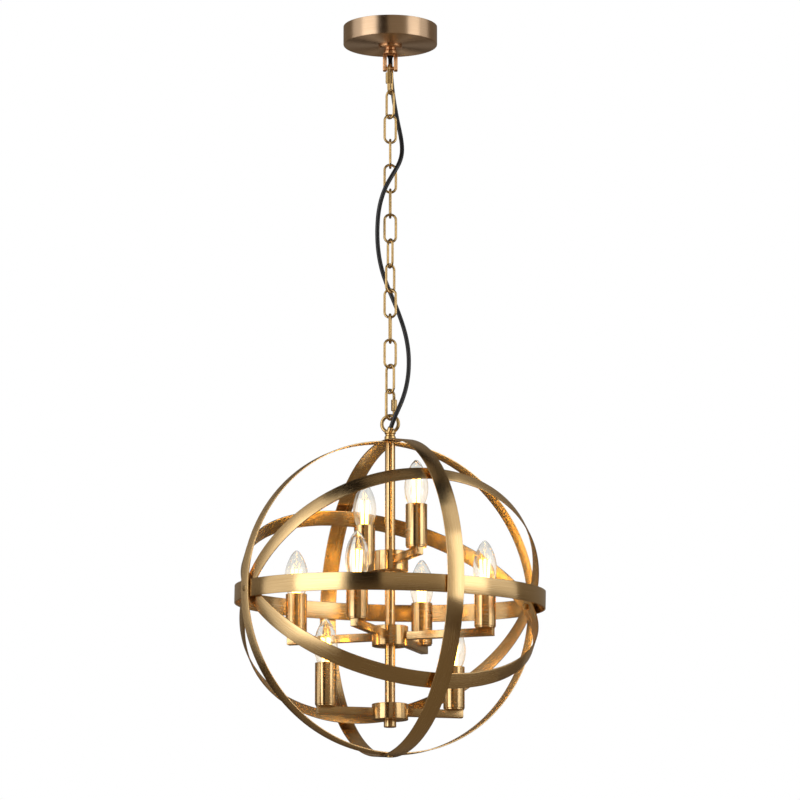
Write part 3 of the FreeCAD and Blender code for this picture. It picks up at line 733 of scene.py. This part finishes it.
for name, (height, reach, turns) in tiers.items():
    bars, places = [], []
    for turn in turns:
        length = reach + arm["overhang"] - arm["root"]
        piece = barMesh("bar", (length, arm["size"] - 0.1, arm["size"] - 0.1),
                        (arm["root"] + length / 2, 0, 0), arm["edge"])
        piece.data.transform(turnTo((0, 0, orbZ + height), turn - 90))
        bars.append(piece)
        a = math.radians(turn - 90)
        places.append((reach * math.cos(a), reach * math.sin(a), orbZ + height + arm["size"] / 2))
    dress(joined(name + "Arms", bars), materials["brass"], "orb_frame", [name + "_arms"],
          30)
    up = lamp["cupThick"]
    radius, wall = lamp["sleeve"], lamp["sleeveWall"]
    tube = turned("sleeve", rounded([(radius - wall, up), (radius, up),
                  (radius, up + lamp["sleeveLength"]), (radius - wall, up + lamp["sleeveLength"]),
                  (radius - wall, up + 1)], 0.3), steps=64)
    sleeves = spread(name + "CandleSleeves", tube, places, turns, materials["brass"])
    dress(sleeves, materials["brass"], "orb_frame", [name + "_candle_sleeves"])
    high = up + lamp["holderLength"]
    socketRadius, socketFloor = lamp["cap"] + lamp["socketPlay"], high - lamp["socketDepth"]
    body = turned("body", rounded([(0, up), (lamp["holder"], up), (lamp["holder"], high),
                  (socketRadius, high), (socketRadius, socketFloor), (0, socketFloor)], 0.4),
                  steps=48)
    holders = spread(name + "Lampholders", body, places, turns, materials["phenolic"])
    dress(holders, materials["phenolic"], "orb_frame", [name + "_lampholders"])
    cup = turned("cup", rounded([(0, 0), (lamp["cup"], 0), (lamp["cup"], up), (0, up)], 0.4),
                 steps=48)
    cups = spread(name + "HolderCups", cup, places, turns, materials["brass"])
    dress(cups, materials["brass"], "orb_frame", [name + "_lampholders"])
    foot = up + lamp["sleeveLength"] - lamp["sink"]
    cap = turned("cap", threadedCap(high - lamp["capLength"], foot), steps=40)
    caps = spread(name + "BulbCaps", cap, places, turns, materials["nickel"])
    dress(caps, materials["nickel"], "orb_frame", [name + "_bulb_caps"])
    outer = [(r, z + foot) for r, z in glass]
    inner = [(max(r - lamp["glassWall"], 0), z + foot - (lamp["glassWall"] if z > 60 else 0))
             for r, z in reversed(glass)]
    bulb = turned("bulb", outer + inner, steps=56, closed=True)
    bulbs = spread(name + "Bulbs", bulb, places, turns, materials["glass"])
    dress(bulbs, materials["glass"], "orb_frame", [name + "_bulbs"], 60, False)
    for kind, source, paint in (("Filaments", strips(), "phosphor"),
                                ("BulbStems", innerStem(), "glass")):
        source.data.transform(Matrix.Translation((0, 0, foot * mm)))
        made = spread(name + kind, source, places, turns, materials[paint])
        dress(made, materials[paint], "orb_frame", None, 60)
print("lamps")


# bands
bands = {"thick": 1.6, "width": 22.0, "outer": 199.0, "pitch": 2.3, "pivotTurn": 23.9,
         "edge": 0.45, "ease": (0.15, 0.12), "steps": 288}


def bandPiece(name, order, matrix, body, node):
    # a strip rolled into a ring about Z, with eased edges, then stood in its place
    outer = bands["outer"] - order * bands["pitch"]
    inner, half, edge = outer - bands["thick"], bands["width"] / 2, bands["edge"]
    a, b = bands["ease"]
    profile = [(inner, 0), (inner, -half + edge), (inner + a, -half + b), (inner + edge, -half),
               (outer - edge, -half), (outer - a, -half + b), (outer, -half + edge),
               (outer, half - edge), (outer - a, half - b), (outer - edge, half),
               (inner + edge, half), (inner + a, half - b), (inner, half - edge)]
    piece = turned(name, profile, steps=bands["steps"], closed=True)
    piece.data.transform(Matrix.Translation((0, 0, orbZ * mm)) @ matrix)
    return dress(piece, materials["brass"], body, [node], 50)


pivot = bands["pivotTurn"]
bandPiece("outerMeridianBand", 0, rotation(pivot + 90, "Z") @ rotation(90, "X"), "orb_frame",
          "outer_meridian_band")
bandPiece("innerMeridianBand", 1, rotation(pivot, "Z") @ rotation(90, "X"), "orb_frame",
          "inner_meridian_band")
for name, order, tilt, body, node in (
        ("equatorBand", 2, -2.7, "equator_ring", "equator_band"),
        ("upperTiltingBand", 3, 45.2, "upper_tilting_ring", "upper_tilting_band"),
        ("lowerTiltingBand", 4, -40.0, "lower_tilting_ring", "lower_tilting_band")):
    bandPiece(name, order, rotation(pivot, "Z") @ rotation(-tilt, "X"), body, node)
print("bands")


# pieces kept from the CAD model
kept = {"mounting_strap": "zinc", "canopy_nipple": "zinc", "canopy_locknuts": "zinc",
        "stem_core": "zinc", "terminal_block": "nylon", "arm_leads": "jacket",
        "pivot_screws": "plated", "pole_rivet": "plated"}
for node, paint in kept.items():
    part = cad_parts[node]
    for materialSlot in part.material_slots:
        materialSlot.material = materials[paint]
    if not part.material_slots:
        part.data.materials.append(materials[paint])


# lights and surround: the orb hangs in plain white, as in the photograph
studio = {"surround": 0.55, "cardRadius": 2300.0, "cardMiddle": -600.0, "aim": -0.55,
          "key": 19.5, "fill": 11.3, "top": 3.0}


def softLamp(name, place, size, power, shows=True):
    light = bpy.data.lights.new(name, "AREA")
    light.shape, light.size, light.size_y = "RECTANGLE", size[0], size[1]
    light.energy, light.color = power, (1, 1, 1)
    lampObject = bpy.data.objects.new(name, light)
    lampObject.location = place
    lampObject.visible_glossy = shows
    aim = Vector((0, 0, studio["aim"])) - Vector(place)
    lampObject.rotation_euler = aim.to_track_quat("-Z", "Y").to_euler()
    scene.collection.objects.link(lampObject)


def studioCard(name, sweep, rise, colour):
    # a curved card hung round the object, which the camera sees only in the metal:
    # sweep is its angle round from the camera side, rise its angle above the middle
    material, tree = startMaterial(name)
    finishMaterial(tree, addNode(tree, "ShaderNodeEmission",
                                 {"Color": fromHex(colour), "Strength": 1.0}))
    columns, rows, vertices, faces = 24, 12, [], []
    reach = studio["cardRadius"]
    for j in range(rows + 1):
        for i in range(columns + 1):
            around = math.radians(sweep[0] + (sweep[1] - sweep[0]) * i / columns)
            up = math.radians(rise[0] + (rise[1] - rise[0]) * j / rows)
            vertices.append((reach * math.sin(around) * math.cos(up),
                             -reach * math.cos(around) * math.cos(up),
                             studio["cardMiddle"] + reach * math.sin(up)))
    for j in range(rows):
        for i in range(columns):
            a = j * (columns + 1) + i
            faces.append((a, a + 1, a + columns + 2, a + columns + 1))
    card = newPiece(name, vertices, faces)
    card.data.materials.append(material)
    card.visible_camera = card.visible_diffuse = card.visible_shadow = False
    card.visible_transmission = card.visible_volume_scatter = False


softLamp("keyLamp", (-1.8, -1.35, -0.35), (1.5, 2.3), studio["key"])
softLamp("fillLamp", (1.9, -1.15, -0.2), (1.2, 1.9), studio["fill"])
softLamp("topLamp", (0.3, 0.4, 1.2), (1.4, 1.4), studio["top"], False)
studioCard("darkFrontCard", (-31, -6), (-9, 54), "1C1815")
studioCard("greyFrontCard", (-6, 43), (-9, 54), "A79D8E")
studioCard("rearCard", (104, 256), (-9, 54), "7E766B")
studioCard("ceilingCard", (-180, 180), (54, 75), "0A0808")
studioCard("overheadCard", (-180, 180), (75, 90), "8E8375")
studioCard("lowerCard", (-180, 180), (-90, -30), "746857")
studioCard("lowRightCard", (-31, 180), (-30, -9), "5A4F42")
studioCard("lowRearCard", (180, 256), (-30, -5), "3A322A")

world = bpy.data.worlds.new("studio")
scene.world = world
world.use_nodes = True
tree = world.node_tree
tree.nodes.clear()
rays = addNode(tree, "ShaderNodeLightPath")
straight = addNode(tree, "ShaderNodeMath", {"operation": "MAXIMUM"},
                   {0: rays.outputs["Is Camera Ray"], 1: rays.outputs["Is Transmission Ray"]})
seen = addNode(tree, "ShaderNodeMath", {"operation": "MAXIMUM"},
               {0: straight.outputs[0], 1: rays.outputs["Is Glossy Ray"]})
surround = addNode(tree, "ShaderNodeBackground",
                   {"Color": fromHex("F4F2F0"), "Strength": studio["surround"]})
white = addNode(tree, "ShaderNodeBackground", {"Color": (1, 1, 1, 1), "Strength": 1.0})
mixed = addNode(tree, "ShaderNodeMixShader", None,
                {"Fac": seen.outputs[0], 1: surround.outputs[0], 2: white.outputs[0]})
addNode(tree, "ShaderNodeOutputWorld", None, {"Surface": mixed.outputs[0]})
scene.view_settings.view_transform = "Standard"

print("studio")
